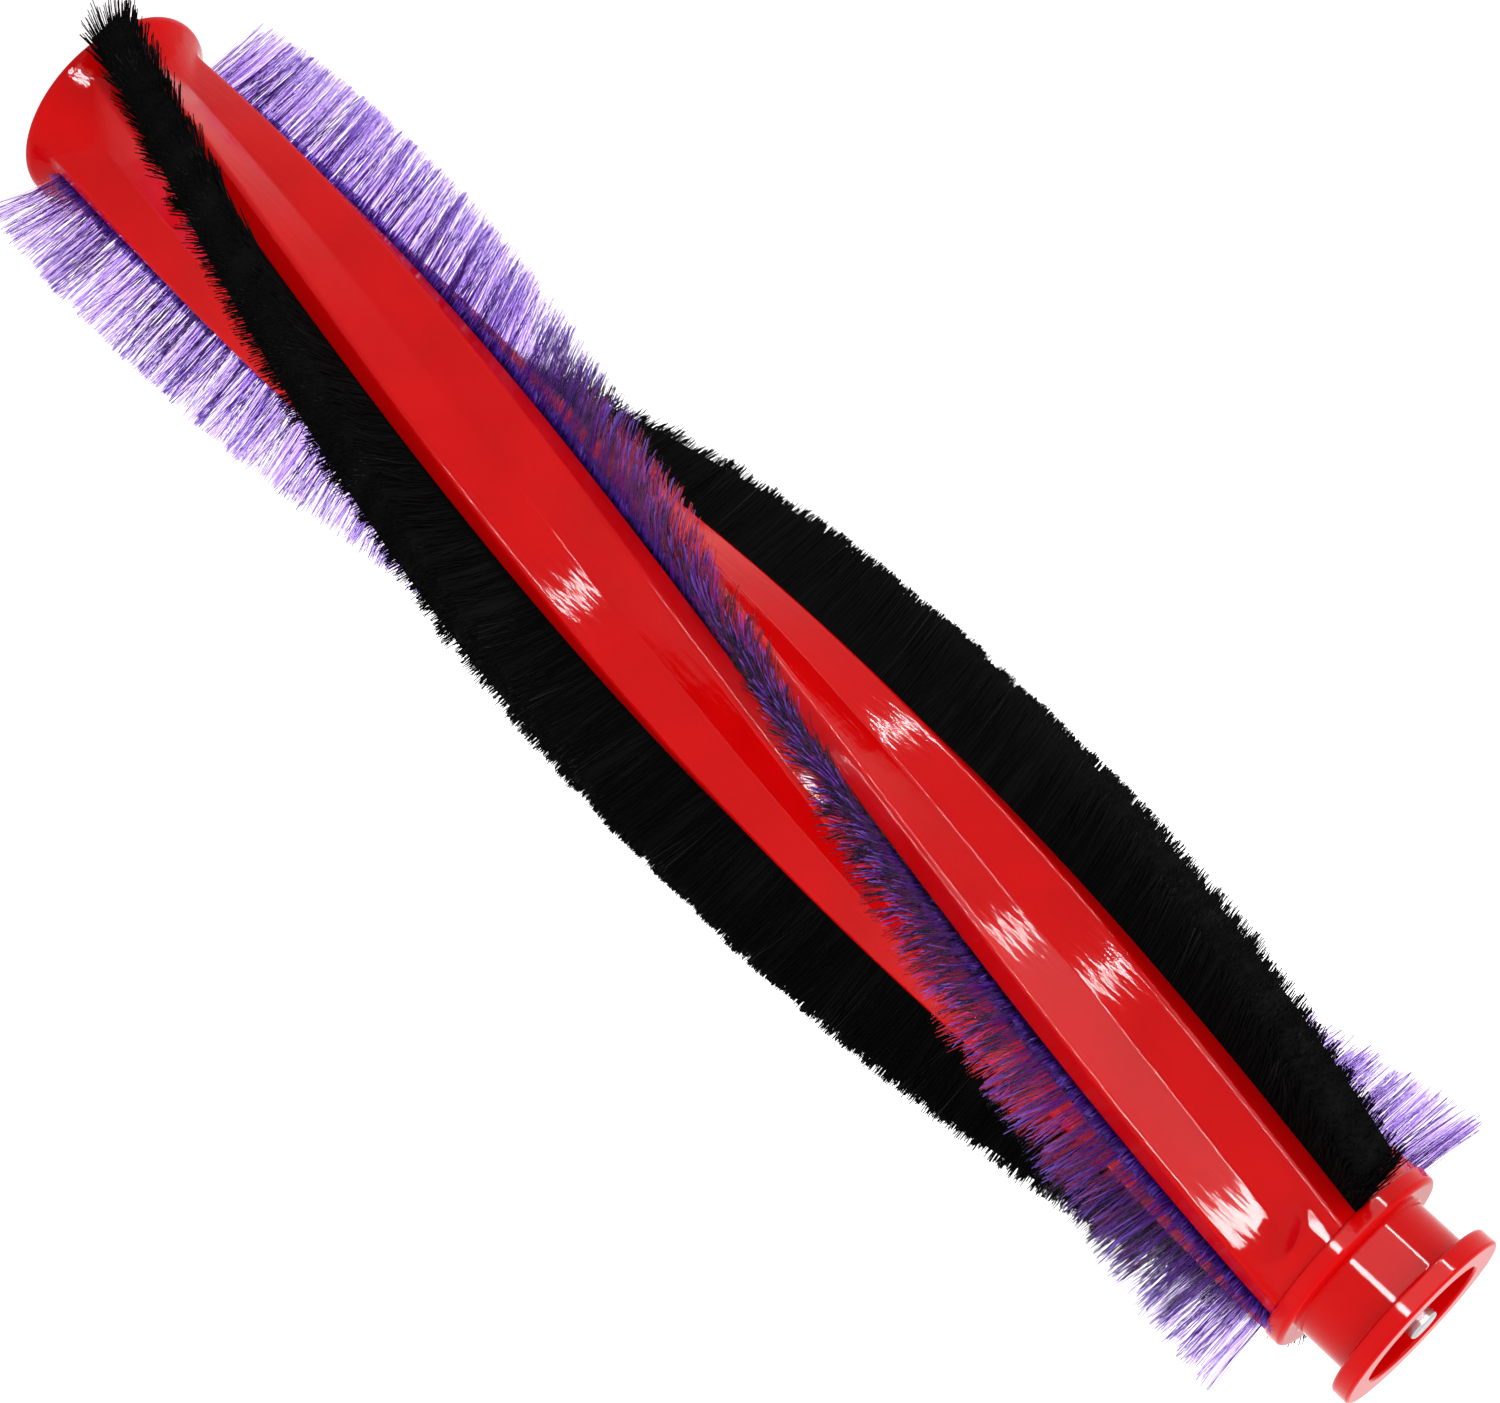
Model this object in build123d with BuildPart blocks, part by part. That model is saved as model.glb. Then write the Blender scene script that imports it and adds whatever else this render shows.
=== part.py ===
# Vacuum roller brush: a twisted red core with a flared drive end, a spool-shaped end cap with a steel
# axle pin, and four bristle strips slid into helical T-slots, two of violet nylon and two of black fibre.
# Sizes are in millimetres. The roller stands on the rim of its flare, and +Z runs along its axis.
from build123d import *
from math import cos, radians, sin, sqrt
import os

os.makedirs("parts", exist_ok=True)

# Roller
overall_length = 225.0      # flare rim to the spool's face
helix_lead = 427.5          # axial length of one full right-handed turn
strip_count = 4             # T-slots around the core, nylon and carbon strips in turn

# Core section
crest_height = 11.85        # axis to the flat crest that each slot opens on
crest_width = 7.2
valley_depth = 2.3          # from the crest's height to the valley floor
shoulder_round = 0.6        # edge between crest and valley flank
valley_round = 1.2          # floor of the valley
core_wall = 2.5             # between the slot floor and the hollow inside

# T-slots and strip backings
slot_width = 2.1            # gap between the lips
lip_thickness = 1.5         # lips that hold the backing down
tee_width = 3.2             # undercut width
tee_depth = 1.7             # undercut height
strip_start = 4.0           # closed end of the slots, above the flare rim
strip_clearance = 0.15      # sliding fit all round a strip

# Flared end
flare_lip = 2.3             # flare rim beyond the crest
flare_reach = 14.0          # rim face to where the flare's curve has sunk below the valley floors
rim_thickness = 0.9         # straight edge of the rim
rim_chamfer = 0.35

# Capped end
end_land = 2.2              # filled stretch of the valleys beside the end cap
end_land_drop = 0.15        # filled valleys below the crest
valley_run_out = 7.5        # length over which a valley rises to the filled stretch
run_out_dip = 0.5           # depth below the valley floor at which a run-out starts

# Drive socket in the flared end
socket_wall = 1.85          # between the socket and the slot floor
socket_depth = 12.0
socket_floor = 2.0          # web between the socket and the hollow inside
spline_count = 6
spline_width = 1.6
spline_height = 1.2
seal_recess_depth = 2.4     # ring recess that the head's collar runs in
seal_recess_width = 2.4
hub_wall = 1.9              # ring between the socket and the recess

# Spool-shaped end cap
flange_thickness = 2.5
neck_length = 6.85
collar_thickness = 2.45
collar_step = 0.6           # collar beyond the crest
cup_radius = 8.35
neck_wall = 1.2
flange_lip = 2.4            # flange beyond the neck
cup_floor = 1.3             # wall between the cup and the core's end
collar_chamfer = 0.5
flange_chamfer = 0.25
spigot_clearance = 0.1      # spigot in the core's hollow
spigot_floor = 2.0          # below the pin's end

# Axle pin
pin_radius = 1.95           # journal that stands free in the cup
shank_radius = 2.3          # thicker end, pressed into the cap
shank_length = 11.0
pin_proud = 0.4             # journal end beyond the spool's face
pin_chamfer = 0.3
pin_clearance = 0.02

# Bristles
nylon_length = 11.05        # from crest to tip
nylon_spread = 5.2          # width of the row at its tips
carbon_length = 11.15
carbon_spread = 7.0
nylon_tuft_pitch = 7.0      # spacing of the partings along a nylon row
carbon_tuft_pitch = 14.0    # the black fibre is denser and parts less often
parting_width = 0.8         # width of a parting at the tips
parting_depth = 7.0
bristle_end_gap = 0.3       # last bristles to the end cap's collar

# Sizes that follow from the ones above
twist_rate = 360 / helix_lead
core_end = overall_length - flange_thickness - neck_length - collar_thickness
valley_radius = crest_height - valley_depth
flare_radius = crest_height + flare_lip
tee_top = crest_height - lip_thickness
slot_floor = tee_top - tee_depth
hollow_radius = slot_floor - core_wall
socket_radius = slot_floor - socket_wall
hub_radius = socket_radius + hub_wall
neck_radius = cup_radius + neck_wall
flange_radius = neck_radius + flange_lip
collar_radius = crest_height + collar_step
flange_start = overall_length - flange_thickness
collar_end = core_end + collar_thickness
pin_end = overall_length + pin_proud
journal_start = core_end + cup_floor
shank_start = journal_start - shank_length
backing_floor = slot_floor + strip_clearance
backing_top = tee_top - strip_clearance
bristle_root = backing_top + strip_clearance
strip_angle = 360 / strip_count
past = 5.0                  # how far a cutting shape reaches past the surface it cuts
touch = 0.001               # within this, a corner counts as lying at a radius


def corners_at(profile, radius):
    """The corners of a turned profile that lie at this radius."""
    return profile.vertices().filter_by_position(Axis.X, radius - touch, radius + touch)


def mirrored(point):
    """The point on the other side of the X axis."""
    return (point[0], -point[1])


def tangent_radius(drop, length):
    """Radius of the arc that falls by drop over this length and ends level."""
    return drop / 2 + length**2 / 2 / drop


def twisted(sketch, start, end):
    """Solids of this section between two heights, turned along the roller's helix."""
    place = Location((0, 0, start), (0, 0, twist_rate * start))
    foot = (0, 0, start)
    rise = (0, 0, end - start)
    turn = twist_rate * (end - start)
    return [
        Solid.extrude_linear_with_rotation(face.moved(place), foot, rise, turn) for face in sketch.faces()
    ]


# Section of the core: flat crests with a V valley between each two
half_step = radians(strip_angle / 2)
crest_corner = (crest_height, crest_width / 2)
valley_floor = (valley_radius * cos(half_step), valley_radius * sin(half_step))

with BuildSketch() as core_section:
    with PolarLocations(0, strip_count):
        Polygon((0, 0), valley_floor, crest_corner, mirrored(crest_corner), mirrored(valley_floor), align=None)
    corners = core_section.vertices().sort_by_distance((0, 0))
    fillet(corners[:strip_count], valley_round)
    fillet(corners[strip_count:], shoulder_round)

# Section of the four T-slots
with BuildSketch() as slot_section:
    with PolarLocations(0, strip_count):
        with Locations((slot_floor, 0)):
            Rectangle(tee_depth, tee_width, align=(Align.MIN, Align.CENTER))
            Rectangle(crest_height - slot_floor + past, slot_width, align=(Align.MIN, Align.CENTER))

# Core with its flare, valley run-outs, slots, hollow and drive socket
run_out_low = valley_radius - run_out_dip
end_land_radius = crest_height - end_land_drop
end_land_start = core_end - end_land
run_out_start = end_land_start - valley_run_out
flare_curve = tangent_radius(flare_radius - run_out_low, flare_reach - rim_thickness)
run_out_curve = tangent_radius(end_land_radius - run_out_low, valley_run_out)

with BuildPart() as core:
    add(twisted(core_section.sketch, rim_thickness, core_end))
    with BuildSketch(Plane.XZ) as flare_profile:
        with BuildLine():
            Polyline(
                (run_out_low, flare_reach),
                (0, flare_reach),
                (0, 0),
                (flare_radius, 0),
                (flare_radius, rim_thickness),
            )
            RadiusArc((flare_radius, rim_thickness), (run_out_low, flare_reach), flare_curve)
        make_face()
        chamfer(corners_at(flare_profile, flare_radius).sort_by(Axis.Y)[0], rim_chamfer)
    revolve(axis=Axis.Z)
    with BuildSketch(Plane.XZ) as capped_end_profile:
        with BuildLine():
            Polyline(
                (run_out_low, run_out_start),
                (0, run_out_start),
                (0, core_end),
                (end_land_radius, core_end),
                (end_land_radius, end_land_start),
            )
            RadiusArc((end_land_radius, end_land_start), (run_out_low, run_out_start), run_out_curve)
        make_face()
    revolve(axis=Axis.Z)
    add(twisted(slot_section.sketch, strip_start, core_end + past), mode=Mode.SUBTRACT)
    with BuildSketch(Plane.XY.offset(socket_depth + socket_floor)):
        Circle(hollow_radius)
    extrude(until=Until.LAST, mode=Mode.SUBTRACT)
    with BuildSketch() as socket_section:
        Circle(socket_radius)
        with PolarLocations(socket_radius, spline_count):
            Rectangle(2 * spline_height, spline_width, mode=Mode.SUBTRACT)
    extrude(amount=socket_depth, mode=Mode.SUBTRACT)
    with BuildSketch() as seal_recess:
        Circle(hub_radius + seal_recess_width)
        Circle(hub_radius, mode=Mode.SUBTRACT)
    extrude(amount=seal_recess_depth, mode=Mode.SUBTRACT)
core.part.label = "core"
export_step(core.part, "parts/core.step")

# End cap: spigot, collar, neck, flange and cup, turned as one profile around the pin's hole
shank_hole_radius = shank_radius + pin_clearance
spigot_radius = hollow_radius - spigot_clearance

with BuildPart() as spool_end_cap:
    with BuildSketch(Plane.XZ) as cap_profile:
        with BuildLine():
            Polyline(
                (0, shank_start - spigot_floor),
                (spigot_radius, shank_start - spigot_floor),
                (spigot_radius, core_end),
                (collar_radius, core_end),
                (collar_radius, collar_end),
                (neck_radius, collar_end),
                (neck_radius, flange_start),
                (flange_radius, flange_start),
                (flange_radius, overall_length),
                (cup_radius, overall_length),
                (cup_radius, journal_start),
                (shank_hole_radius, journal_start),
                (shank_hole_radius, shank_start),
                (0, shank_start),
                close=True,
            )
        make_face()
        chamfer(corners_at(cap_profile, flange_radius), flange_chamfer)
        chamfer(corners_at(cap_profile, collar_radius).sort_by(Axis.Y)[-1], collar_chamfer)
    revolve(axis=Axis.Z)
spool_end_cap.part.label = "spool_end_cap"
export_step(spool_end_cap.part, "parts/spool_end_cap.step")

# Steel axle pin: a shank in the end cap and a journal that stands free in the cup
with BuildPart() as axle_pin:
    with BuildSketch(Plane.XY.offset(shank_start)):
        Circle(shank_radius)
    extrude(amount=shank_length)
    with BuildSketch(Plane.XY.offset(journal_start)):
        Circle(pin_radius)
    extrude(amount=pin_end - journal_start)
    chamfer(axle_pin.edges().filter_by(GeomType.CIRCLE).sort_by(Axis.Z)[-1], pin_chamfer)
axle_pin.part.label = "axle_pin"
export_step(axle_pin.part, "parts/axle_pin.step")

# Flat backing of one strip, in the undercut of the slot at the +X side of the core
with BuildSketch() as backing_section:
    with Locations((backing_floor, 0)):
        Rectangle(
            backing_top - backing_floor, tee_width - 2 * strip_clearance, align=(Align.MIN, Align.CENTER)
        )

with BuildPart() as strip_backing:
    add(twisted(backing_section.sketch, strip_start + strip_clearance, core_end))


def bristle_row(length, spread, tuft_pitch):
    """One row of bristles in the slot at the +X side: a fan in section, parted into tufts at its tips."""
    tip_radius = crest_height + length
    half_root = slot_width / 2 - strip_clearance
    half_tip = spread / 2
    row_start = strip_start + strip_clearance
    row_end = core_end - bristle_end_gap
    tip_side = sqrt(tip_radius**2 - half_tip**2)

    with BuildSketch() as fan:
        with BuildLine():
            Polyline(
                (tip_side, -half_tip),
                (crest_height, -half_root),
                (bristle_root, -half_root),
                (bristle_root, half_root),
                (crest_height, half_root),
                (tip_side, half_tip),
                close=True,
            )
        make_face()

    with BuildPart() as parting:
        with BuildSketch(Plane.XZ):
            with BuildLine():
                Polyline(
                    (tip_radius - parting_depth, 0),
                    (tip_radius, -parting_width / 2),
                    (tip_radius + past, 0),
                    (tip_radius, parting_width / 2),
                    close=True,
                )
            make_face()
        extrude(amount=spread, both=True)

    tufts = round((row_end - row_start) / tuft_pitch)
    step = (row_end - row_start) / tufts
    heights = [row_start + step * number for number in range(1, tufts)]

    with BuildPart() as row:
        add(twisted(fan.sketch, row_start, row_end))
        with Locations(*[Location((0, 0, height), (0, 0, twist_rate * height)) for height in heights]):
            add(parting.part, mode=Mode.SUBTRACT)
    return row.part


# Two strips of each kind, on opposite sides of the core
strip_kinds = {
    "carbon": (0, bristle_row(carbon_length, carbon_spread, carbon_tuft_pitch)),
    "nylon": (strip_angle, bristle_row(nylon_length, nylon_spread, nylon_tuft_pitch)),
}
for kind, (first_angle, bristles) in strip_kinds.items():
    for number in (1, 2):
        turn = (0, 0, first_angle + (number - 1) * 2 * strip_angle)
        for piece, shape in (("strip_backing", strip_backing.part), ("bristles", bristles)):
            name = f"{kind}_{piece}_{number}"
            with BuildPart() as strip_piece:
                add(shape, rotation=turn)
            strip_piece.part.label = name
            export_step(strip_piece.part, f"parts/{name}.step")
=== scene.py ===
# %% [markdown]
# # A vacuum roller brush
# The roller is a twisted red moulding with four bristle strips slid into helical slots. Two strips are fine
# violet nylon and two are dense black fibre. One end flares out over a drive socket, and the other ends in
# a small spool with a steel axle pin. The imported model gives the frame, so every piece below goes straight
# to its place, in metres, standing on the flare with the axis along +Z.

# %% Load the frame
import math

import bmesh
import bpy
import numpy as np
from mathutils import Matrix, Vector


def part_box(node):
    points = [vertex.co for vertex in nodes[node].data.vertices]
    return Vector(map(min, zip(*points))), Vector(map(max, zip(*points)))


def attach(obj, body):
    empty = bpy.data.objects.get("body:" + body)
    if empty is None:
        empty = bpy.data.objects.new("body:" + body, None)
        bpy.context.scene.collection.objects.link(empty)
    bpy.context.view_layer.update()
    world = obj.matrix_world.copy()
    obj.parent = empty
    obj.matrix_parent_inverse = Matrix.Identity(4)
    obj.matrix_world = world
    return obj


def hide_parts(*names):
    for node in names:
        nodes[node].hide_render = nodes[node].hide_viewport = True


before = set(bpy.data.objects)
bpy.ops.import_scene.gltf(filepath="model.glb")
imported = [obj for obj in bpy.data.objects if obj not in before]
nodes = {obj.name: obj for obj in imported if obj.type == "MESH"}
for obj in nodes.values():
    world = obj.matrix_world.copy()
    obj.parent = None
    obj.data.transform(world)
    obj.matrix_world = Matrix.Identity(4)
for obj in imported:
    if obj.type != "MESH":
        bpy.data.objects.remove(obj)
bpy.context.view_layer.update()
print("CAD nodes:", ", ".join(sorted(nodes)))

# %% [markdown]
# ## Sizes
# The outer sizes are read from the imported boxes. The few that a box can't tell, such as the width of a crest
# or of a slot, are written here once, in millimetres, and turned into metres by `mm`.

# %% Sizes that the frame gives
mm = 0.001
core_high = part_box("core")[1]
cap_low, cap_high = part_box("spool_end_cap")
pin_low, pin_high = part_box("axle_pin")
flare_radius = core_high.x
core_end = core_high.z
collar_radius = cap_high.x
cap_top = cap_high.z
print(f"flare radius {flare_radius / mm:.2f} mm, core ends at {core_end / mm:.2f} mm")

# %% Sizes of the core's section
helix_lead = 427.5 * mm
twist = math.radians(360) / helix_lead
strip_count = 4
crest_height = 11.85 * mm
crest_half = 3.6 * mm
valley_radius = 9.55 * mm
slot_half = 1.05 * mm
tee_top = 10.35 * mm
tee_half = 1.6 * mm
slot_floor = 8.65 * mm
strip_start = 4.0 * mm
hollow_radius = 6.15 * mm
socket_depth = 12.0 * mm

# %% [markdown]
# ## Meshes from arrays
# Swept, turned and bristly shapes all come down to arrays of points, so one helper turns arrays into an
# object. Blender's `foreach_set` fills a mesh far faster than adding vertices one by one.

# %% Helpers for meshes
def new_object(name, mesh):
    """An object in the scene for this mesh, shaded smooth."""
    piece = bpy.data.objects.new(name, mesh)
    bpy.context.scene.collection.objects.link(piece)
    mesh.shade_smooth()
    return piece


def mesh_from(name, points, faces):
    """A mesh from an array of points and a list of faces."""
    mesh = bpy.data.meshes.new(name)
    mesh.from_pydata(np.asarray(points).tolist(), [], [tuple(face) for face in faces])
    mesh.update()
    return mesh


def ring_faces(ring_count, ring_size, first=0):
    """Quads between rings of points that follow each other."""
    ring, step = np.meshgrid(np.arange(ring_count - 1), np.arange(ring_size), indexing="ij")
    after = (step + 1) % ring_size
    low, high = first + ring * ring_size, first + (ring + 1) * ring_size
    return np.stack([low + step, low + after, high + after, high + step], axis=-1).reshape(-1, 4)


def rounded(corners, steps=5):
    """Rounds the corners (x, y, radius) of a closed outline, and gives a list of points for each corner."""
    count = len(corners)
    path = []
    for number in range(count):
        here = Vector(corners[number][:2])
        before = Vector(corners[number - 1][:2]) - here
        after = Vector(corners[(number + 1) % count][:2]) - here
        radius = corners[number][2]
        if radius == 0:
            path.append([tuple(here)])
            continue
        half = before.angle(after) / 2
        reach = radius / math.tan(half)
        start = here + before.normalized() * reach
        middle = here + (before.normalized() + after.normalized()).normalized() * (radius / math.sin(half))
        turn = (math.pi - 2 * half) * (1 if before.cross(after) < 0 else -1)
        spoke = start - middle
        path.append([tuple(middle + Matrix.Rotation(turn * k / steps, 2) @ spoke) for k in range(steps + 1)])
    return path


def with_sides(path, spacing, margin=0.15 * mm):
    """Joins the corners' points, with points along each straight side and one close to each of its ends."""
    points = []
    for number, corner in enumerate(path):
        points += corner
        start, end = Vector(corner[-1]), Vector(path[(number + 1) % len(path)][0])
        length = (end - start).length
        if length > 3 * margin:
            inner = max(1, round(length / spacing))
            shares = [margin / length + (1 - 2 * margin / length) * k / inner for k in range(inner + 1)]
            points += [tuple(start.lerp(end, share)) for share in shares]
    return np.array(points)


def turned(name, outline, segments):
    """A closed turned piece from its outline of (radius, height) points, from axis to axis."""
    outline = np.asarray(outline)
    angles = np.linspace(0, 2 * math.pi, segments, endpoint=False)
    rings = np.empty((len(outline) - 2, segments, 3))
    rings[..., 0] = outline[1:-1, :1] * np.cos(angles)
    rings[..., 1] = outline[1:-1, :1] * np.sin(angles)
    rings[..., 2] = outline[1:-1, 1:2]
    points = np.vstack([rings.reshape(-1, 3), [[0, 0, outline[0, 1]], [0, 0, outline[-1, 1]]]])
    faces = ring_faces(len(rings), segments).tolist()
    first, last = len(points) - 2, len(points) - 1
    top = (len(rings) - 1) * segments
    faces += [[(k + 1) % segments, k, first] for k in range(segments)]
    faces += [[top + k, top + (k + 1) % segments, last] for k in range(segments)]
    return new_object(name, mesh_from(name, points, faces))


# %% [markdown]
# ## Shader maths
# A material is a small program. Written node by node it is hard to read, so a `Wire` wraps a socket and
# overloads the operators: `1 - mask` adds the Math node that it needs, and `wire.node(...)` adds any other.

# %% The socket wrapper
class Wire:
    """A node socket in a material, which can be used in Python expressions."""

    def __init__(self, tree, socket):
        self.tree = tree
        self.socket = socket

    def node(self, kind, settings=None, sockets=None, output=0):
        """Adds a node, sets it up, links or sets its sockets, and returns one of its outputs."""
        made = self.tree.nodes.new(kind)
        for key, value in (settings or {}).items():
            if key == "stops":
                set_stops(made.color_ramp, value)
            else:
                setattr(made, key, value)
        for key, value in (sockets or {}).items():
            if isinstance(value, Wire):
                self.tree.links.new(value.socket, made.inputs[key])
            else:
                made.inputs[key].default_value = value
        return Wire(self.tree, made.outputs[output])

    def output(self, name):
        """Another output of the node that this Wire comes from."""
        return Wire(self.tree, self.socket.node.outputs[name])

    def math(self, operation, first, second):
        return self.node("ShaderNodeMath", {"operation": operation}, {0: first, 1: second})

    def __add__(self, other):
        return self.math("ADD", self, other)

    def __radd__(self, other):
        return self.math("ADD", other, self)

    def __sub__(self, other):
        return self.math("SUBTRACT", self, other)

    def __rsub__(self, other):
        return self.math("SUBTRACT", other, self)

    def __mul__(self, other):
        return self.math("MULTIPLY", self, other)

    def __rmul__(self, other):
        return self.math("MULTIPLY", other, self)

    def __pow__(self, other):
        return self.math("POWER", self, other)

    def __rpow__(self, other):
        return self.math("POWER", other, self)


def set_stops(ramp, stops):
    """Gives a colour ramp these (place, colour) stops."""
    while len(ramp.elements) < len(stops):
        ramp.elements.new(1.0)
    for element, (place, colour) in zip(ramp.elements, stops):
        element.position = place
        element.color = (*colour, 1.0)


def new_material(name, **constants):
    """A material with a Principled shader, its even values set, and a Wire to build its patterns from."""
    material = bpy.data.materials.new(name)
    material.use_nodes = True
    tree = material.node_tree
    shader = tree.nodes["Principled BSDF"]
    for key, value in constants.items():
        shader.inputs[key.replace("_", " ")].default_value = value
    place = tree.nodes.new("ShaderNodeTexCoord")
    return material, shader, Wire(tree, place.outputs["Object"])


def feed(shader, socket, wire):
    """Links a pattern to one of the shader's sockets."""
    wire.tree.links.new(wire.socket, shader.inputs[socket])


def dress(piece, material):
    """Gives a piece its material and its body."""
    piece.data.materials.clear()
    piece.data.materials.append(material)
    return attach(piece, "root")


# %% [markdown]
# ## Glossy red plastic
# The core and the spool are moulded in a saturated red with a polished face. The colour hardly varies: a soft
# flow pattern from the mould shifts it a little. What makes it look moulded and not painted is the gloss.
# The core is drawn out of a long mould, which leaves faint marks along it, and they break a lamp's reflection
# into short strokes. The marks are noise that is squeezed along the axis and used as a very shallow bump.
# The spool has hardly any, so its reflections stay clean.

# %% Red plastic
def red_plastic(name, marks_depth):
    material, shader, place = new_material(name, Specular_IOR_Level=0.08)
    flow = place.node("ShaderNodeTexNoise", {}, {"Vector": place, "Scale": 90.0, "Detail": 3.0})
    colour = place.node(
        "ShaderNodeValToRGB",
        {"stops": [(0.3, (0.58, 0.0008, 0.0012)), (0.7, (0.66, 0.0016, 0.0022))]},
        {"Fac": flow},
    )
    feed(shader, "Base Color", colour)
    fine = place.node("ShaderNodeTexNoise", {}, {"Vector": place, "Scale": 700.0, "Detail": 4.0})
    feed(shader, "Roughness", 0.05 + 0.08 * flow * fine)
    squeeze = (1.0, 1.0, 0.14)
    drawn = place.node("ShaderNodeVectorMath", {"operation": "MULTIPLY"}, {0: place, 1: squeeze})
    marks = place.node("ShaderNodeTexNoise", {}, {"Vector": drawn, "Scale": 1300.0, "Detail": 2.0})
    waves = place.node("ShaderNodeTexNoise", {}, {"Vector": place, "Scale": 260.0, "Detail": 2.0})
    height = 0.2 * waves + marks_depth * marks
    bump = place.node("ShaderNodeBump", {}, {"Strength": 0.25, "Distance": 0.2 * mm, "Height": height})
    feed(shader, "Normal", bump)
    return material


core_red = red_plastic("core_red", 0.8)
spool_red = red_plastic("spool_red", 0.03)
print("materials:", core_red.name, spool_red.name)

# %% [markdown]
# ## The twisted core
# The core has one section all along: four flat crests with a V valley between each two, and a T-slot in each
# crest. An extrusion with twist would do for that, but the ends are the interesting part: at the flare the
# valleys fade into a trumpet, and at the spool each valley ends in a rounded scoop. So the section is a ring
# of points, repeated up the axis and turned with the helix, and a formula says how far out each point sits.

# %% Section of the core
valley_round, crest_round, lip_round = 1.2 * mm, 1.0 * mm, 0.14 * mm


def sector_corners():
    """Corners (x, y, rounding) of a quarter of the section, from one valley to just before the next."""
    low = valley_radius * math.sqrt(0.5)
    slot = [
        (crest_height, slot_half, lip_round),
        (tee_top, slot_half, 0),
        (tee_top, tee_half, 0),
        (slot_floor, tee_half, 0),
    ]
    right = [(x, -y, rounding) for x, y, rounding in slot]
    return [
        (low, -low, valley_round),
        (crest_height, -crest_half, crest_round),
        *right,
        *reversed(slot),
        (crest_height, crest_half, crest_round),
    ]


corners = []
for number in range(strip_count):
    turn = Matrix.Rotation(2 * math.pi * number / strip_count, 2)
    corners += [(*(turn @ Vector((x, y))), rounding) for x, y, rounding in sector_corners()]
section = with_sides(rounded(corners, steps=7), spacing=0.7 * mm)
section_angle = np.arctan2(section[:, 1], section[:, 0])
section_radius = np.hypot(section[:, 0], section[:, 1])
print("points in the core's section:", len(section))

# %% Which points lie down in a slot
from_crest = (section_angle + math.pi / strip_count) % (2 * math.pi / strip_count) - math.pi / strip_count
across = section_radius * np.sin(from_crest)
height = section_radius * np.cos(from_crest)
hair, lip_reach = 0.001 * mm, 0.15 * mm
under_crest = (height < crest_height - hair) & (height > slot_floor - hair)
beside_lip = (height > tee_top + hair) & (np.abs(across) > slot_half + lip_reach)
in_slot = under_crest & (np.abs(across) < tee_half + hair) & ~beside_lip
slot_runs = np.flatnonzero(in_slot).reshape(strip_count, -1)
slot_share = np.zeros(len(section))
slot_share[slot_runs] = np.linspace(-1, 1, slot_runs.shape[1] + 2)[1:-1]
print("of which in the slots:", slot_runs.size)

# %% How far out the surface lies
flare_reach, rim_thickness, rim_round = 14.0 * mm, 0.9 * mm, 0.35 * mm
run_low = valley_radius - 0.5 * mm
flare_fall, flare_length = flare_radius - run_low, flare_reach - rim_thickness
flare_curve = flare_fall / 2 + flare_length**2 / 2 / flare_fall
land_radius = crest_height - 0.15 * mm
scoop_stop, scoop_full = core_end - 7.2 * mm, 0.6
flare_blend, blend_run = 0.35 * mm, 2 * mm


def flare_at(z):
    """Radius of the trumpet at this height, with its rim's lower edge rounded."""
    if z < rim_round:
        return flare_radius - rim_round + math.sqrt(rim_round**2 - (rim_round - z) ** 2)
    rest = max(0.0, min(flare_length, flare_reach - max(z, rim_thickness)))
    return run_low + flare_curve - math.sqrt(flare_curve**2 - rest**2)


def soft_max(a, b, softness):
    """The larger of two radii, with a smooth passage from one to the other."""
    return (a + b + np.sqrt((a - b) ** 2 + softness**2)) / 2


outer = ~in_slot
order = np.argsort(section_angle[outer])
profile_angle = section_angle[outer][order]
profile_radius = section_radius[outer][order]


def section_radius_at(angle):
    """Radius of the plain section at an angle, read off its outer points."""
    return np.interp(angle, profile_angle, profile_radius, period=2 * math.pi)


def core_ring(z):
    """The section's points at a height, turned with the helix."""
    radius = section_radius.copy()
    angle = section_angle.copy()
    covered = z < strip_start + hair
    if covered:
        closed = np.arctan2(slot_share * slot_half, crest_height)
        radius[in_slot] = crest_height / np.cos(closed[in_slot])
        angle[in_slot] += (closed - from_crest)[in_slot]
    shown = outer | covered
    from_valley = angle % (2 * math.pi / strip_count) - math.pi / strip_count
    past_stop = max(0.0, z - scoop_stop)
    if past_stop > 0:
        spread = np.sign(from_valley) * np.hypot(from_valley * crest_height, past_stop) / crest_height
        scoop = np.minimum(land_radius, section_radius_at(angle - from_valley + spread))
        full = np.abs(spread) > math.pi / strip_count * scoop_full
        scoop = np.where(full, land_radius, scoop)
        radius = np.where(shown, np.maximum(radius, scoop), radius)
    if z < flare_reach:
        softness = flare_blend * min(1.0, z / blend_run)
        radius = np.where(shown, soft_max(radius, flare_at(z), softness), radius)
    angle = angle + twist * z
    return np.stack([radius * np.cos(angle), radius * np.sin(angle), np.full(len(angle), z)], axis=-1)


heights = np.concatenate(
    [
        np.linspace(0, rim_round, 7),
        np.linspace(rim_round, flare_reach, 42)[1:],
        [strip_start, strip_start + 2 * hair],
        np.linspace(flare_reach, scoop_stop, 98)[1:],
        np.linspace(scoop_stop, core_end, 30)[1:],
    ]
)
heights = np.unique(np.round(heights, 8))
core_rings = np.array([core_ring(z) for z in heights])
wall = int(np.searchsorted(heights, strip_start))
print("rings up the core:", len(core_rings), "and the slots start at ring", wall)

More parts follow.
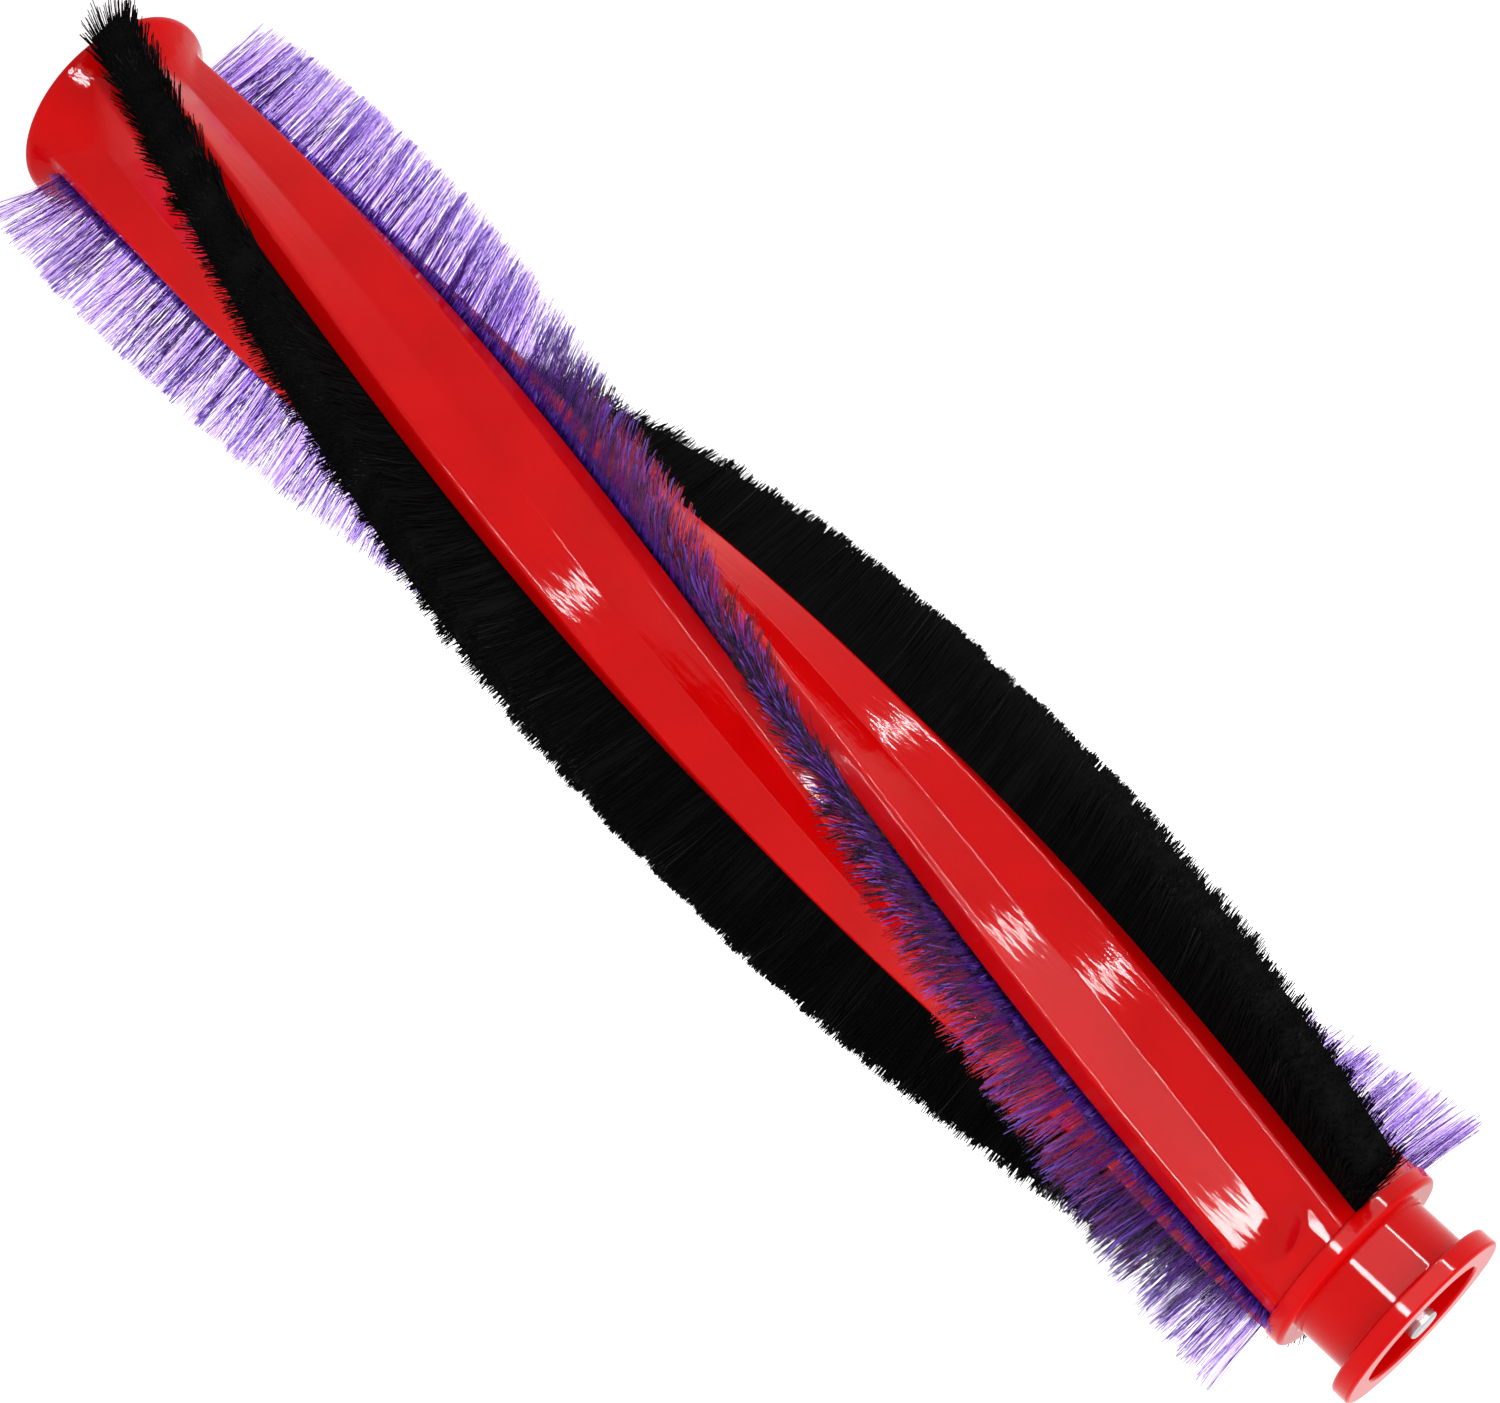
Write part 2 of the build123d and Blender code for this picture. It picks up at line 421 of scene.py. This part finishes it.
# %% [markdown]
# ## The drive end
# Under the flare the core is open: a ring recess, a hub, and a socket with six splines that the head's drive
# dog fits. These are rings of points again. The flat rim between them and the sweep's first ring is closed
# with `triangle_fill`, which takes loops of different counts and leaves no folds.

# %% Rings of the drive end
hub_radius, recess_radius, recess_depth = 8.7 * mm, 11.1 * mm, 2.4 * mm
socket_radius, spline_tip, spline_half, spline_count = 6.8 * mm, 5.6 * mm, 0.8 * mm, 6
edge, edge_middle, rim_inset = 0.2 * mm, 0.06 * mm, 0.3 * mm
mouth_scale, floor_scale = 1.02, 0.97
gap_steps = 12


def spline_loop():
    """The socket's outline: a circle with six splines that stand in from it."""
    corners = []
    base = math.sqrt(socket_radius**2 - spline_half**2)
    for number in range(spline_count):
        turn = Matrix.Rotation(2 * math.pi * number / spline_count, 2)
        right = [(base, -spline_half), (spline_tip, -spline_half)]
        left = [(spline_tip, spline_half), (base, spline_half)]
        corners += [turn @ Vector(corner) for corner in right + left]
        spline_edge = math.asin(spline_half / socket_radius)
        gap = math.pi / spline_count - spline_edge
        for k in range(1, gap_steps):
            bend = spline_edge + 2 * gap * k / gap_steps
            corners.append(turn @ Vector((socket_radius * math.cos(bend), socket_radius * math.sin(bend))))
    return np.array([tuple(corner) for corner in corners])


socket_loop = spline_loop()
loop_size = len(socket_loop)
loop_angles = np.linspace(0, 2 * math.pi, loop_size, endpoint=False) + math.atan2(*socket_loop[0][::-1])
circle = np.stack([np.cos(loop_angles), np.sin(loop_angles)], axis=-1)


def level(loop, z):
    """A flat loop lifted to a height."""
    return np.column_stack([loop, np.full(len(loop), z)])


drive_rings = [
    level(circle * (flare_radius - rim_round - rim_inset), 0),
    level(circle * (recess_radius + edge), 0),
    level(circle * (recess_radius + edge_middle), edge_middle),
    level(circle * recess_radius, edge),
    level(circle * recess_radius, recess_depth - edge),
    level(circle * (recess_radius - edge), recess_depth),
    level(circle * (hub_radius + edge), recess_depth),
    level(circle * hub_radius, recess_depth - edge),
    level(circle * hub_radius, edge),
    level(circle * (hub_radius - edge_middle), edge_middle),
    level(circle * (hub_radius - edge), 0),
    level(socket_loop * mouth_scale, 0),
    level(socket_loop, edge),
    level(socket_loop, socket_depth - edge),
    level(socket_loop * floor_scale, socket_depth),
]
drive_points = np.concatenate(drive_rings)
print("rings of the drive end:", len(drive_rings))

# %% Join the core
core_points = core_rings.reshape(-1, 3)
sweep_faces = ring_faces(len(core_rings), len(section))
slot_steps = np.concatenate([slot_runs[:, :1] - 1, slot_runs], axis=1)
sweep_faces = np.delete(sweep_faces, wall * len(section) + slot_steps.ravel(), axis=0)
first_drive = len(core_points)
drive_faces = ring_faces(len(drive_rings), loop_size, first_drive)[:, ::-1]
all_points = np.vstack([core_points, drive_points])
core_mesh = mesh_from("twisted_core", all_points, np.vstack([sweep_faces, drive_faces]))
built = bmesh.new()
built.from_mesh(core_mesh)
built.verts.ensure_lookup_table()


def loop_edges(first, count):
    """The edges around a ring of vertices."""
    ring = [built.verts[first + k] for k in range(count)]
    found = []
    for k in range(count):
        pair = (ring[k], ring[(k + 1) % count])
        found.append(built.edges.get(pair) or built.edges.new(pair))
    return found


print("swept faces:", len(sweep_faces), "and in the drive end:", len(drive_faces))

# %% Close the slots' starts, the rim and the socket
for run in slot_runs:
    span = range(run[0] - 1, run[-1] + 2)
    covered_edge = [built.verts[wall * len(section) + k] for k in span]
    open_edge = [built.verts[(wall + 1) * len(section) + k] for k in span]
    built.faces.new(covered_edge + open_edge[::-1])
rim = loop_edges(0, len(section)) + loop_edges(first_drive, loop_size)
bmesh.ops.triangle_fill(built, use_beauty=True, edges=rim)
last_ring = first_drive + (len(drive_rings) - 1) * loop_size
built.faces.new([built.verts[last_ring + k] for k in range(loop_size)])
print("faces with the closed rim:", len(built.faces))

# %% Hollow the core and close its end
hollow_size, hollow_wall = 96, 2.0 * mm
hollow_angles = np.linspace(0, 2 * math.pi, hollow_size, endpoint=False)
hollow_floor = socket_depth + hollow_wall
hollow = [
    [built.verts.new((hollow_radius * math.cos(a), hollow_radius * math.sin(a), z)) for a in hollow_angles]
    for z in (core_end, hollow_floor)
]
for k in range(hollow_size):
    after = (k + 1) % hollow_size
    built.faces.new((hollow[0][k], hollow[1][k], hollow[1][after], hollow[0][after]))
built.faces.new(hollow[1])
built.verts.ensure_lookup_table()
end_edges = loop_edges((len(core_rings) - 1) * len(section), len(section))
end_edges += [built.edges.get((hollow[0][k], hollow[0][(k + 1) % hollow_size])) for k in range(hollow_size)]
bmesh.ops.triangle_fill(built, use_beauty=True, edges=end_edges)
bmesh.ops.recalc_face_normals(built, faces=built.faces)
built.to_mesh(core_mesh)
built.free()
twisted_core = new_object("twisted_core", core_mesh)
core_mesh.set_sharp_from_angle(angle=math.radians(38))
dress(twisted_core, core_red)
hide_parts("core")
print("core faces:", len(core_mesh.polygons))

# %% [markdown]
# ## The spool end
# The end cap is turned: a collar that closes the slots, a neck, a flange and an open cup. On the real
# moulding no edge is sharp, and it is the rounded edges that catch the light, so the outline is rounded
# corner by corner before it is spun.

# %% Outlines to turn
def axis_points(outline):
    """Places in an outline of the points that lie on the axis."""
    return np.flatnonzero(outline[:, 0] < 1e-9)


def turned_outline(corners, spacing, margin):
    """A rounded outline from its lowest point on the axis to the point where it meets the axis again."""
    outline = with_sides(rounded(corners, steps=6), spacing, margin)
    on_axis = axis_points(outline)
    lowest = on_axis[np.argmin(outline[on_axis, 1])]
    outline = np.roll(outline, -lowest, axis=0)
    return outline[: axis_points(outline)[1] + 1]


# %% Spool end cap
collar_top = core_end + 2.45 * mm
flange_start = cap_top - 2.5 * mm
neck_radius, cup_radius, flange_reach = 9.55 * mm, 8.35 * mm, 11.95 * mm
cup_floor_z = core_end + 1.3 * mm
spigot_radius, spigot_low = 6.05 * mm, cap_low.z
shank_hole, shank_low = 2.32 * mm, pin_low.z
cap_corners = [
    (0, spigot_low, 0),
    (spigot_radius, spigot_low, 0.4 * mm),
    (spigot_radius, core_end, 0),
    (collar_radius, core_end, 0.45 * mm),
    (collar_radius, collar_top, 0.7 * mm),
    (neck_radius, collar_top, 0.35 * mm),
    (neck_radius, flange_start, 0.35 * mm),
    (flange_reach, flange_start, 0.5 * mm),
    (flange_reach, cap_top, 0.4 * mm),
    (cup_radius, cap_top, 0.3 * mm),
    (cup_radius, cup_floor_z, 0.5 * mm),
    (shank_hole, cup_floor_z, 0.1 * mm),
    (shank_hole, shank_low, 0),
    (0, shank_low, 0),
]
spool = turned("spool_end", turned_outline(cap_corners, spacing=1.2 * mm, margin=0.08 * mm), 192)
spool.data.set_sharp_from_angle(angle=math.radians(40))
dress(spool, spool_red)
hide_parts("spool_end_cap")
print("spool faces:", len(spool.data.polygons))

# %% [markdown]
# ## The steel axle pin
# The pin is ground steel with a rounded edge. Grinding leaves fine rings around it, so its colour,
# roughness and bump come from noise in one dimension: a function of height on the side, and of radius on the
# end face.

# %% Ground steel
def ground_steel():
    """Steel with fine grinding rings, as many to a metre as the two numbers say."""
    side_rings, face_rings = 9000, 7000
    material, shader, place = new_material("ground_steel", Metallic=1.0)
    split = place.node("ShaderNodeSeparateXYZ", {}, {"Vector": place})
    flat = place.node("ShaderNodeCombineXYZ", {}, {"X": split, "Y": split.output("Y")})
    reach = place.node("ShaderNodeVectorMath", {"operation": "LENGTH"}, {0: flat}, "Value")
    turn = split.output("Z") * side_rings + reach * face_rings
    rings = place.node("ShaderNodeTexNoise", {"noise_dimensions": "1D"}, {"W": turn})
    colour = place.node(
        "ShaderNodeValToRGB",
        {"stops": [(0.3, (0.52, 0.52, 0.54)), (0.7, (0.72, 0.72, 0.74))]},
        {"Fac": rings},
    )
    feed(shader, "Base Color", colour)
    feed(shader, "Roughness", 0.18 + 0.14 * rings)
    bump = place.node("ShaderNodeBump", {}, {"Strength": 0.15, "Distance": 0.05 * mm, "Height": rings})
    feed(shader, "Normal", bump)
    return material


pin_radius, shank_radius = 1.95 * mm, pin_high.x
pin_corners = [
    (0, pin_low.z, 0),
    (shank_radius, pin_low.z, 0.2 * mm),
    (shank_radius, cup_floor_z, 0),
    (pin_radius, cup_floor_z, 0),
    (pin_radius, pin_high.z, 0.35 * mm),
    (0, pin_high.z, 0),
]
pin = turned("steel_pin", turned_outline(pin_corners, spacing=0.8 * mm, margin=0.05 * mm), 72)
pin.data.set_sharp_from_angle(angle=math.radians(40))
dress(pin, ground_steel())
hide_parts("axle_pin")
print("pin faces:", len(pin.data.polygons))

# %% [markdown]
# ## Bristles
# A strip is thousands of filaments held in a folded backing. Particle hair would be quick, but it doesn't
# export, so each filament is a thin three-sided tube of real mesh: root, middle and tip. The filaments of a
# strip start in the slot, fan out, and lean together in small clumps, which gives the ragged edge.

# %% How filaments spread
row_start, row_end = strip_start + 0.15 * mm, core_end - 0.3 * mm
root_radius, root_half = tee_top, 0.72 * mm
fan_scatter, fan_limit = 0.18, 1.15
clump_jitter, clump_sway, own_lean = 0.3, 0.10, 0.8
end_zone, start_splay, end_splay = 5 * mm, 1.92 * mm, 1.6 * mm
bend_share, bend_across, bend_along = 0.54, 0.86, 0.06
own_tint, clump_tint = 0.6, 0.4
print("bristle rows run from", round(row_start / mm, 2), "to", round(row_end / mm, 2), "mm")


# %% One strip's filaments
def strip_places(seed, count, tip_radius, half_tip, clump_pitch, gather, uneven, lean):
    """Filaments' roots, middles and tips in the strip's own (out, across, along) frame, and their tints."""
    draw = np.random.default_rng(seed)
    along = np.sort(draw.uniform(row_start, row_end, count))
    clumps = int((row_end - row_start) / clump_pitch) + 2
    jitter = draw.uniform(-clump_jitter, clump_jitter, clumps)
    clump_centre = row_start + (np.arange(clumps) + jitter) * clump_pitch
    clump = np.clip(np.searchsorted(clump_centre, along) - draw.integers(0, 2, count), 0, clumps - 1)
    side = draw.uniform(-1, 1, count)
    fan = np.clip(side + draw.normal(0, fan_scatter, count), -fan_limit, fan_limit)
    clump_lean = draw.normal(0, lean, clumps)[clump]
    clump_side = draw.normal(0, clump_sway * half_tip, clumps)[clump]
    clump_short = np.abs(draw.normal(0, uneven, clumps))[clump]
    gathered = along + (clump_centre[clump] - along) * gather
    tip_along = gathered + clump_lean + draw.normal(0, own_lean * lean, count)
    near_start = np.clip(1 - (along - row_start) / end_zone, 0, 1)
    near_end = np.clip(1 - (row_end - along) / end_zone, 0, 1)
    tip_along += end_splay * near_end - start_splay * near_start
    length = tip_radius - crest_height - clump_short - np.abs(draw.normal(0, uneven, count))
    slope = np.arctan2(fan * half_tip + clump_side, tip_radius - crest_height)
    root = np.stack([np.full(count, root_radius), side * root_half, along], axis=-1)
    tip = np.stack([crest_height + length * np.cos(slope), length * np.sin(slope), tip_along], axis=-1)
    middle = root * (1 - bend_share) + tip * bend_share
    middle[:, 1] *= bend_across
    middle[:, 2] += (along - tip_along) * bend_along
    tint = draw.uniform(0, 1, count) * own_tint + draw.uniform(0, clump_tint, clumps)[clump]
    return root, middle, tip, tint


def on_roller(places, first_angle):
    """Puts places from a strip's own frame on the roller, at its angle and turned with the helix."""
    angle = first_angle + twist * places[..., 2]
    x = places[..., 0] * np.cos(angle) - places[..., 1] * np.sin(angle)
    y = places[..., 0] * np.sin(angle) + places[..., 1] * np.cos(angle)
    return np.stack([x, y, places[..., 2]], axis=-1)


# %% Filaments as mesh
sides = 3
tint_width, end_start = 0.004, 0.995


def filament_mesh(name, stations, thickness, tint):
    """Three-sided tubes through the stations, with each one's tint and length in a UV map."""
    count, levels = stations.shape[0], stations.shape[1]
    direction = stations[:, -1] - stations[:, 0]
    direction /= np.linalg.norm(direction, axis=1, keepdims=True)
    first = np.cross(direction, [0, 0, 1.0])
    first /= np.linalg.norm(first, axis=1, keepdims=True)
    second = np.cross(direction, first)
    turn = np.arange(sides) * 2 * math.pi / sides
    spoke = first[:, None] * np.cos(turn)[None, :, None] + second[:, None] * np.sin(turn)[None, :, None]
    points = stations[:, :, None] + spoke[:, None] * np.asarray(thickness)[None, :, None, None]
    index = np.arange(count * levels * sides).reshape(count, levels, sides)
    after = np.roll(index, -1, axis=2)
    quads = np.stack([index[:, :-1], after[:, :-1], after[:, 1:], index[:, 1:]], axis=-1)
    ends = index[:, -1]
    mesh = bpy.data.meshes.new(name)
    quad_count = quads.size // 4
    mesh.vertices.add(points.size // 3)
    mesh.vertices.foreach_set("co", points.astype(np.float32).ravel())
    corner_index = np.concatenate([quads.reshape(-1), ends.reshape(-1)])
    mesh.loops.add(len(corner_index))
    mesh.loops.foreach_set("vertex_index", corner_index.astype(np.int32))
    starts = np.concatenate([np.arange(quad_count) * 4, quad_count * 4 + np.arange(count) * 3])
    mesh.polygons.add(len(starts))
    mesh.polygons.foreach_set("loop_start", starts.astype(np.int32))
    share = np.linspace(0, 1, levels)
    left = np.broadcast_to(tint[:, None, None], quads.shape[:3])
    low = np.broadcast_to(share[None, :-1, None], quads.shape[:3])
    high = np.broadcast_to(share[None, 1:, None], quads.shape[:3])
    right = left + tint_width
    quad_uv = np.stack([left, low, right, low, right, high, left, high], axis=-1).reshape(-1)
    end_low, end_high = np.full(count, end_start), np.ones(count)
    end_uv = np.stack([tint, end_low, tint + tint_width, end_low, tint, end_high], axis=-1)
    layer = mesh.uv_layers.new(name="OFBake")
    layer.uv.foreach_set("vector", np.concatenate([quad_uv, end_uv.reshape(-1)]).astype(np.float32))
    mesh.update(calc_edges=True)
    mesh.validate()
    return mesh


def strip_mesh(name, first_angle, places, radii):
    """The mesh of a strip's filaments, put on the roller, with their radii at root, middle and tip."""
    stations = on_roller(np.stack(places[:3], axis=1), first_angle)
    return filament_mesh(name, stations, np.array(radii) * mm, places[3])


print("faces of one filament:", sides * 2 + 1)


# %% [markdown]
# ## Violet nylon
# Nylon filaments are nearly clear: a single one against the light looks lavender, while many behind each
# other look violet, and over the red core they look wine red. Alpha would only make them fade. So they have
# a clear shader that tints what is seen through it and bends it hardly at all. The tint runs from a deep root
# to a pale tip: the deep root is painted shade, the dimness down in the packed foot of the strip. It reads the
# UV map, where U mixes a dark and a light ramp and V runs along the filament.

# %% Filament finish
dark_colour, light_colour, mixed_colour = 6, 7, 2


def filament_material(name, dark, light, rarity=1.0, **constants):
    """A finish that runs along each filament. A high rarity leaves the light ramp to a few of them."""
    material, shader, place = new_material(name, **constants)
    uv = place.node("ShaderNodeUVMap", {"uv_map": "OFBake"})
    tint = place.node("ShaderNodeSeparateXYZ", {}, {"Vector": uv})
    along = tint.output("Y")
    deep = place.node("ShaderNodeValToRGB", {"stops": dark}, {"Fac": along})
    pale = place.node("ShaderNodeValToRGB", {"stops": light}, {"Fac": along})
    sockets = {"Factor": tint**rarity, dark_colour: deep, light_colour: pale}
    feed(shader, "Base Color", place.node("ShaderNodeMix", {"data_type": "RGBA"}, sockets, mixed_colour))
    print("material:", name)
    return material


# %% Nylon strips
nylon = filament_material(
    "violet_nylon",
    # The deep first stop at the root of each ramp is painted shade; the pale stops are the nylon's own tint.
    [(0.0, (0.26, 0.020, 0.80)), (0.2, (0.71, 0.57, 0.93)), (1.0, (0.74, 0.62, 0.95))],
    [(0.0, (0.30, 0.030, 0.84)), (0.2, (0.88, 0.79, 0.97)), (1.0, (0.90, 0.83, 0.985))],
    Roughness=0.05,
    IOR=1.03,
    Transmission_Weight=0.985,
)
nylon_angles = {1: math.pi / 2, 2: math.pi / 2 + math.pi}
nylon_tip = 22.9 * mm
nylon_habit = {"clump_pitch": 2.2 * mm, "gather": 0.42, "lean": 0.35 * mm}
for number, first_angle in nylon_angles.items():
    places = strip_places(
        seed=10 + number,
        count=5200,
        tip_radius=nylon_tip,
        half_tip=2.6 * mm,
        uneven=0.28 * mm,
        **nylon_habit,
    )
    mesh = strip_mesh(f"nylon_filaments_{number}", first_angle, places, (0.075, 0.070, 0.050))
    piece = dress(new_object(f"nylon_filaments_{number}", mesh), nylon)
    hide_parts(f"nylon_bristles_{number}")
    print(piece.name, len(mesh.polygons), "faces")

# %% [markdown]
# ## Deep violet filaments
# Where the nylon leaves the slot, the tufts are folded tight and let no light through: a bright violet line
# runs along the foot of each strip. Some full-length filaments are dark violet too, and show as darker streaks
# against white, and as violet where the strip points at the eye. That dark violet is painted shade: it stands
# for the dimness inside a strip seen end-on. Both are opaque, so they make a piece of their own.

# %% Deep filaments
deep_violet = filament_material(
    "deep_violet_nylon",
    # The dark ramp, which the full-length filaments mostly take, is painted shade of the strip seen end-on.
    [(0.0, (0.07, 0.007, 0.25)), (0.45, (0.10, 0.010, 0.25)), (1.0, (0.17, 0.060, 0.48))],
    [(0.0, (0.10, 0.010, 0.48)), (0.45, (0.15, 0.016, 0.40)), (1.0, (0.28, 0.130, 0.70))],
    Roughness=0.4,
    Specular_IOR_Level=0.15,
)
foot_light, deep_light = 0.75, 0.6
for number, first_angle in nylon_angles.items():
    *feet, foot_tint = strip_places(
        seed=30 + number,
        count=2400,
        tip_radius=crest_height + 1.3 * mm,
        half_tip=0.7 * mm,
        clump_pitch=1.0 * mm,
        gather=0.2,
        uneven=0.20 * mm,
        lean=0.15 * mm,
    )
    *full, full_tint = strip_places(
        seed=40 + number,
        count=1000,
        tip_radius=nylon_tip,
        half_tip=2.2 * mm,
        uneven=0.35 * mm,
        **nylon_habit,
    )
    tint = np.concatenate([foot_light + (1 - foot_light) * foot_tint, deep_light * full_tint])
    places = [np.concatenate(pair) for pair in zip(feet, full)] + [tint]
    mesh = strip_mesh(f"deep_filaments_{number}", first_angle, places, (0.080, 0.070, 0.050))
    piece = dress(new_object(f"deep_filaments_{number}", mesh), deep_violet)
    print(piece.name, len(mesh.polygons), "faces")

# %% [markdown]
# ## Black fibre
# The black strips are far denser and softer, like felt with a ragged edge. Filling that with filaments alone
# would take too many, so a dark fan stands inside, a little short of the tips, and the filaments cover it.
# Only a few filaments are grey enough to show.

# %% The fan inside a black strip
fibre = filament_material(
    "black_fibre",
    [(0.0, (0.0008, 0.0008, 0.0008)), (1.0, (0.0012, 0.0012, 0.0012))],
    [(0.0, (0.0020, 0.0020, 0.0020)), (1.0, (0.0300, 0.0300, 0.0320))],
    rarity=9.0,
    Roughness=0.85,
    Specular_IOR_Level=0.03,
)
fan_side, fan_top = [(10.3, 0.85), (12.0, 0.90), (21.3, 2.50)], (21.9, 0.0)
fan_section = np.array([(out, -across) for out, across in fan_side] + [fan_top] + fan_side[::-1]) * mm
fan_start, fan_end, fan_levels = row_start + 0.6 * mm, row_end - 0.4 * mm, 150
fan_tint, fan_along, fan_patch = 0.02, 0.05, 0.01


def fan_mesh_into(mesh, first_angle):
    """Adds the dark fan of a black strip to its filaments' mesh."""
    levels = np.linspace(fan_start, fan_end, fan_levels)
    rings = np.array([np.column_stack([fan_section, np.full(len(fan_section), z)]) for z in levels])
    points = on_roller(rings, first_angle).reshape(-1, 3)
    joined = bmesh.new()
    joined.from_mesh(mesh)
    verts = [joined.verts.new(point) for point in points]
    layer = joined.loops.layers.uv["OFBake"]
    size = len(fan_section)
    faces = [[verts[k] for k in face] for face in ring_faces(len(levels), size)]
    faces += [[verts[k] for k in reversed(range(size))], verts[-size:]]
    for corners in faces:
        face = joined.faces.new(corners)
        for place, loop in enumerate(face.loops):
            loop[layer].uv = (fan_tint + fan_patch * (place % 2), fan_along + fan_patch * (place // 2))
    joined.to_mesh(mesh)
    joined.free()


print("points in the fan's section:", len(fan_section))

# %% Black strips
carbon_angles = {1: 0.0, 2: math.pi}
for number, first_angle in carbon_angles.items():
    places = strip_places(
        seed=20 + number,
        count=14500,
        tip_radius=23.0 * mm,
        half_tip=4.2 * mm,
        clump_pitch=1.1 * mm,
        gather=0.25,
        uneven=0.36 * mm,
        lean=0.60 * mm,
    )
    mesh = strip_mesh(f"carbon_filaments_{number}", first_angle, places, (0.075, 0.075, 0.065))
    fan_mesh_into(mesh, first_angle)
    piece = dress(new_object(f"carbon_filaments_{number}", mesh), fibre)
    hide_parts(f"carbon_bristles_{number}")
    print(piece.name, len(mesh.polygons), "faces")

# %% [markdown]
# ## Strip backings
# The flat backings stay as the CAD model has them, deep in the slots. They only need a dull extruded plastic.

# %% Backings
def extruded_plastic():
    material, shader, place = new_material("extruded_plastic", Specular_IOR_Level=0.3)
    grain = place.node("ShaderNodeTexNoise", {}, {"Vector": place, "Scale": 1200.0, "Detail": 4.0})
    colour = place.node(
        "ShaderNodeValToRGB",
        {"stops": [(0.3, (0.030, 0.030, 0.034)), (0.7, (0.050, 0.050, 0.055))]},
        {"Fac": grain},
    )
    feed(shader, "Base Color", colour)
    feed(shader, "Roughness", 0.5 + 0.2 * grain)
    return material


backing = extruded_plastic()
for name, node in nodes.items():
    if "backing" in name:
        node.data.materials.clear()
        node.data.materials.append(backing)
        print("finished", name)

# %% [markdown]
# ## Floor and light
# The floor is pale and shows pure white to the camera, and keeps the roller's soft shadow: it is part paint,
# part faint glow that only the camera, mirrors and glass see. The world's even light gives the pieces their
# colour. The lamps are there for gloss alone, because gloss is nothing but a picture of the lights: a broad
# panel makes the wide pale bands, and three slim lamps close to the roller make the bright strokes. They are
# kept out of matt surfaces and clear filaments, which they would bleach.

# %% Floor
def seen_directly(tree):
    """One for rays from the camera and for those that a mirror or glass sends on, else zero."""
    path = Wire(tree, None).node("ShaderNodeLightPath")
    rays = path.output("Is Camera Ray") + path.output("Is Glossy Ray") + path.output("Is Transmission Ray")
    return path.math("MINIMUM", rays, 1.0)


def studio_floor():
    """Pale paint with a faint glow for rays that see it directly."""
    material = bpy.data.materials.new("studio_floor")
    material.use_nodes = True
    tree = material.node_tree
    tree.nodes.remove(tree.nodes["Principled BSDF"])
    seen = seen_directly(tree)
    paint = seen.node("ShaderNodeBsdfDiffuse", {}, {"Color": (0.62, 0.62, 0.62, 1)})
    glow = seen.node("ShaderNodeEmission", {}, {"Strength": seen * 0.75})
    both = seen.node("ShaderNodeAddShader", {}, {0: paint, 1: glow})
    feed(tree.nodes["Material Output"], "Surface", both)
    return material


half = 12.0
floor_corners = [(-half, -half, 0), (half, -half, 0), (half, half, 0), (-half, half, 0)]
floor = new_object("floor", mesh_from("floor", floor_corners, [(0, 1, 2, 3)]))
floor.data.materials.append(studio_floor())
print("floor", 2 * half, "m wide")

# %% World
world = bpy.data.worlds.new("studio")
bpy.context.scene.world = world
world.use_nodes = True
sky = world.node_tree.nodes["Background"]
sky.inputs["Color"].default_value = (1, 1, 1, 1)
ambient = 1.4
feed(sky, "Strength", ambient - (ambient - 1) * seen_directly(world.node_tree))
print("ambient level", ambient)

# %% Lamps
def lamp(name, bearing, distance, low, high, width, radiance):
    """An upright area lamp that faces the axis. Its power follows from its size and how bright it looks."""
    light = bpy.data.lights.new(name, "AREA")
    light.shape = "RECTANGLE"
    light.size = width
    light.size_y = high - low
    light.energy = radiance * math.pi * light.size * light.size_y
    holder = bpy.data.objects.new(name, light)
    bpy.context.scene.collection.objects.link(holder)
    outward = Vector((math.cos(math.radians(bearing)), math.sin(math.radians(bearing)), 0))
    holder.location = outward * distance + Vector((0, 0, (low + high) / 2))
    holder.rotation_euler = outward.to_track_quat("Z", "Y").to_euler()
    holder.visible_camera = False
    holder.visible_diffuse = False
    holder.visible_transmission = False
    print(name, round(light.energy, 3), "W")


slim = {"distance": 0.23, "radiance": 130.0}
lamp("broad_panel", bearing=172, distance=0.20, low=0.12, high=0.32, width=0.25, radiance=5.0)
lamp("slim_lamp_left", bearing=206, low=0.0, high=0.17, width=0.012, **slim)
lamp("wide_lamp_left", bearing=206, low=0.172, high=0.22, width=0.027, **slim)
lamp("slim_lamp_right", bearing=140, low=0.0, high=0.22, width=0.010, **slim)

# %% [markdown]
# ## Camera
# A long lens looks at the roller from the side, a little above its spool end, and is rolled so that the roller
# lies across the picture from corner to corner. Its place and turn were fitted to the roller's outline, and two
# directions give the turn: the picture's right and its top.

# %% Camera
camera_place = Vector((-0.37620, -0.16611, 0.26849))
camera_right = Vector((-0.04633508, 0.72366983, 0.68858917))
camera_up = Vector((-0.50781505, 0.57654769, -0.64009112))
camera_back = camera_right.cross(camera_up)
camera = bpy.data.objects.new("camera", bpy.data.cameras.new("camera"))
bpy.context.scene.collection.objects.link(camera)
camera.data.lens = 89.0
camera.data.sensor_width = 36.0
camera.data.sensor_fit = "HORIZONTAL"
camera.data.clip_start = 0.01
turn = Matrix((camera_right, camera_up, camera_back)).transposed()
camera.matrix_world = Matrix.Translation(camera_place) @ turn.to_4x4()
bpy.context.scene.camera = camera
bpy.context.scene.view_settings.view_transform = "Standard"
print("camera at", [round(value, 3) for value in camera.location])
